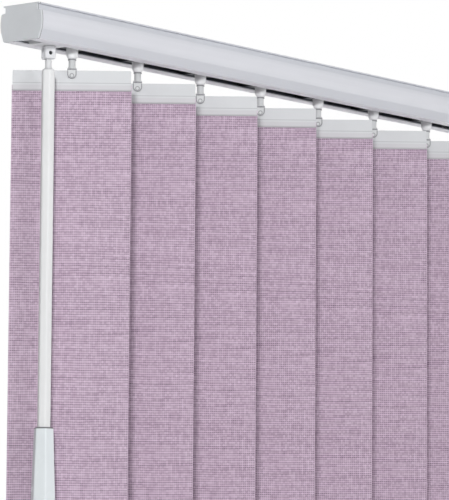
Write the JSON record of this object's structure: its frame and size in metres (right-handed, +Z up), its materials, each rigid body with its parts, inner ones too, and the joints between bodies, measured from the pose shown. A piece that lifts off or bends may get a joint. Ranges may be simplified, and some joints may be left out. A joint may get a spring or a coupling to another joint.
{
  "type": "vertical blind",
  "caption": "Vertical blind: slotted head rail with geared sliding carriers, hanging fabric slats that turn together, and a tilt wand.",
  "frame": {"origin": "centre of the head rail's top face, which fixes up under its clips", "axes": "+X along the rail away from the wand, -Y towards the room, +Z up"},
  "size_m": [0.571, 0.0708, 0.6],
  "materials": {
    "rail_paint": "satin white powder coat",
    "cap_plastic": "fine matt",
    "carrier_plastic": "satin",
    "gear_plastic": "moulded, satin",
    "hook_plastic": "slightly milky",
    "hanger_plastic": "satin",
    "slat_fabric": "slubbed plain weave",
    "weight_metal": "dull",
    "rod_metal": "extruded",
    "steel": "rolled",
    "wand_plastic": "gloss",
    "grip_plastic": "gloss"
  },
  "bodies": {
    "rail": {"headrail": "rail_paint", "end_cap_left": "cap_plastic", "end_cap_right": "cap_plastic", "carrier_7": "carrier_plastic", "spacer_6": "steel"},
    "rod": {"tilt_rod": "rod_metal"},
    "lead": {"wand_truck": "carrier_plastic", "carrier_1": "carrier_plastic"},
    "carriage_2": {"carrier_2": "carrier_plastic", "spacer_1": "steel"},
    "carriage_3": {"carrier_3": "carrier_plastic", "spacer_2": "steel"},
    "carriage_4": {"carrier_4": "carrier_plastic", "spacer_3": "steel"},
    "carriage_5": {"carrier_5": "carrier_plastic", "spacer_4": "steel"},
    "carriage_6": {"carrier_6": "carrier_plastic", "spacer_5": "steel"},
    "vane_1": {"stem_1": "hook_plastic", "hanger_1": "hanger_plastic", "slat_1": "slat_fabric", "weight_1": "weight_metal"},
    "vane_2": {"stem_2": "hook_plastic", "hanger_2": "hanger_plastic", "slat_2": "slat_fabric", "weight_2": "weight_metal"},
    "vane_3": {"stem_3": "hook_plastic", "hanger_3": "hanger_plastic", "slat_3": "slat_fabric", "weight_3": "weight_metal"},
    "vane_4": {"stem_4": "hook_plastic", "hanger_4": "hanger_plastic", "slat_4": "slat_fabric", "weight_4": "weight_metal"},
    "vane_5": {"stem_5": "hook_plastic", "hanger_5": "hanger_plastic", "slat_5": "slat_fabric", "weight_5": "weight_metal"},
    "vane_6": {"stem_6": "hook_plastic", "hanger_6": "hanger_plastic", "slat_6": "slat_fabric", "weight_6": "weight_metal"},
    "vane_7": {"stem_7": "hook_plastic", "hanger_7": "hanger_plastic", "slat_7": "slat_fabric", "weight_7": "weight_metal"},
    "worm_shaft_1": {"worm_1": "gear_plastic"},
    "worm_shaft_2": {"worm_2": "gear_plastic"},
    "worm_shaft_3": {"worm_3": "gear_plastic"},
    "worm_shaft_4": {"worm_4": "gear_plastic"},
    "worm_shaft_5": {"worm_5": "gear_plastic"},
    "worm_shaft_6": {"worm_6": "gear_plastic"},
    "worm_shaft_7": {"worm_7": "gear_plastic"},
    "transfer_gear": {"rod_gear": "gear_plastic"},
    "yoke": {"wand_yoke": "carrier_plastic", "yoke_pin": "steel"},
    "wand": {"wand_eye": "wand_plastic", "wand_tube": "wand_plastic", "wand_grip": "grip_plastic"}
  },
  "joints": [
    {"name": "traverse", "type": "slide", "parent": "rail", "child": "lead", "axis": [1, 0, 0], "range_m": [0, 0.324]},
    {"name": "carriage_slide_2", "type": "slide", "parent": "rail", "child": "carriage_2", "axis": [1, 0, 0], "range_m": [0, 0.27]},
    {"name": "carriage_slide_3", "type": "slide", "parent": "rail", "child": "carriage_3", "axis": [1, 0, 0], "range_m": [0, 0.216]},
    {"name": "carriage_slide_4", "type": "slide", "parent": "rail", "child": "carriage_4", "axis": [1, 0, 0], "range_m": [0, 0.162]},
    {"name": "carriage_slide_5", "type": "slide", "parent": "rail", "child": "carriage_5", "axis": [1, 0, 0], "range_m": [0, 0.108]},
    {"name": "carriage_slide_6", "type": "slide", "parent": "rail", "child": "carriage_6", "axis": [1, 0, 0], "range_m": [0, 0.054]},
    {"name": "slat_turn_7", "type": "hinge", "parent": "rail", "child": "vane_7", "pos_m": [0.228, 0, -0.03], "axis": [0, 0, -1], "range_deg": [-27, 105]},
    {"name": "slat_turn_6", "type": "hinge", "parent": "carriage_6", "child": "vane_6", "pos_m": [0.152, 0, -0.03], "axis": [0, 0, -1], "range_deg": [-27, 105]},
    {"name": "slat_turn_5", "type": "hinge", "parent": "carriage_5", "child": "vane_5", "pos_m": [0.076, 0, -0.03], "axis": [0, 0, -1], "range_deg": [-27, 105]},
    {"name": "slat_turn_4", "type": "hinge", "parent": "carriage_4", "child": "vane_4", "pos_m": [0, 0, -0.03], "axis": [0, 0, -1], "range_deg": [-27, 105]},
    {"name": "slat_turn_3", "type": "hinge", "parent": "carriage_3", "child": "vane_3", "pos_m": [-0.076, 0, -0.03], "axis": [0, 0, -1], "range_deg": [-27, 105]},
    {"name": "slat_turn_2", "type": "hinge", "parent": "carriage_2", "child": "vane_2", "pos_m": [-0.152, 0, -0.03], "axis": [0, 0, -1], "range_deg": [-27, 105]},
    {"name": "slat_turn_1", "type": "hinge", "parent": "lead", "child": "vane_1", "pos_m": [-0.228, 0, -0.03], "axis": [0, 0, -1], "range_deg": [-27, 105]},
    {"name": "rod_turn", "type": "hinge", "parent": "rail", "child": "rod", "pos_m": [0, 0.008, -0.015], "axis": [1, 0, 0], "range_deg": [-1050, 270]},
    {"name": "worm_turn_1", "type": "hinge", "parent": "lead", "child": "worm_shaft_1", "pos_m": [-0.228, 0.008, -0.015], "axis": [1, 0, 0], "range_deg": [-1050, 270]},
    {"name": "worm_turn_2", "type": "hinge", "parent": "carriage_2", "child": "worm_shaft_2", "pos_m": [-0.152, 0.008, -0.015], "axis": [1, 0, 0], "range_deg": [-1050, 270]},
    {"name": "worm_turn_3", "type": "hinge", "parent": "carriage_3", "child": "worm_shaft_3", "pos_m": [-0.076, 0.008, -0.015], "axis": [1, 0, 0], "range_deg": [-1050, 270]},
    {"name": "worm_turn_4", "type": "hinge", "parent": "carriage_4", "child": "worm_shaft_4", "pos_m": [0, 0.008, -0.015], "axis": [1, 0, 0], "range_deg": [-1050, 270]},
    {"name": "worm_turn_5", "type": "hinge", "parent": "carriage_5", "child": "worm_shaft_5", "pos_m": [0.076, 0.008, -0.015], "axis": [1, 0, 0], "range_deg": [-1050, 270]},
    {"name": "worm_turn_6", "type": "hinge", "parent": "carriage_6", "child": "worm_shaft_6", "pos_m": [0.152, 0.008, -0.015], "axis": [1, 0, 0], "range_deg": [-1050, 270]},
    {"name": "worm_turn_7", "type": "hinge", "parent": "rail", "child": "worm_shaft_7", "pos_m": [0.228, 0.008, -0.015], "axis": [1, 0, 0], "range_deg": [-1050, 270]},
    {"name": "transfer_gear_turn", "type": "hinge", "parent": "lead", "child": "transfer_gear", "pos_m": [-0.2545, 0.008, -0.015], "axis": [1, 0, 0], "range_deg": [-1050, 270]},
    {"name": "wand_turn", "type": "hinge", "parent": "lead", "child": "yoke", "pos_m": [-0.2545, 0, -0.027], "axis": [0, 0, -1], "range_deg": [-360, 1400]},
    {"name": "wand_swing", "type": "hinge", "parent": "yoke", "child": "wand", "pos_m": [-0.2545, 0, -0.0325], "axis": [0.4352, 0.9003, 0], "range_deg": [0, 30]}
  ],
  "couplings": [
    {"joint": "carriage_slide_2", "follows": "traverse", "ratio": 0.83333},
    {"joint": "carriage_slide_3", "follows": "traverse", "ratio": 0.66667},
    {"joint": "carriage_slide_4", "follows": "traverse", "ratio": 0.5},
    {"joint": "carriage_slide_5", "follows": "traverse", "ratio": 0.33333},
    {"joint": "carriage_slide_6", "follows": "traverse", "ratio": 0.16667},
    {"joint": "slat_turn_6", "follows": "slat_turn_7", "ratio": 1},
    {"joint": "slat_turn_5", "follows": "slat_turn_7", "ratio": 1},
    {"joint": "slat_turn_4", "follows": "slat_turn_7", "ratio": 1},
    {"joint": "slat_turn_3", "follows": "slat_turn_7", "ratio": 1},
    {"joint": "slat_turn_2", "follows": "slat_turn_7", "ratio": 1},
    {"joint": "slat_turn_1", "follows": "slat_turn_7", "ratio": 1},
    {"joint": "rod_turn", "follows": "slat_turn_7", "ratio": -10},
    {"joint": "worm_turn_1", "follows": "slat_turn_7", "ratio": -10},
    {"joint": "worm_turn_2", "follows": "slat_turn_7", "ratio": -10},
    {"joint": "worm_turn_3", "follows": "slat_turn_7", "ratio": -10},
    {"joint": "worm_turn_4", "follows": "slat_turn_7", "ratio": -10},
    {"joint": "worm_turn_5", "follows": "slat_turn_7", "ratio": -10},
    {"joint": "worm_turn_6", "follows": "slat_turn_7", "ratio": -10},
    {"joint": "worm_turn_7", "follows": "slat_turn_7", "ratio": -10},
    {"joint": "transfer_gear_turn", "follows": "slat_turn_7", "ratio": -10},
    {"joint": "wand_turn", "follows": "slat_turn_7", "ratio": 13.333}
  ]
}
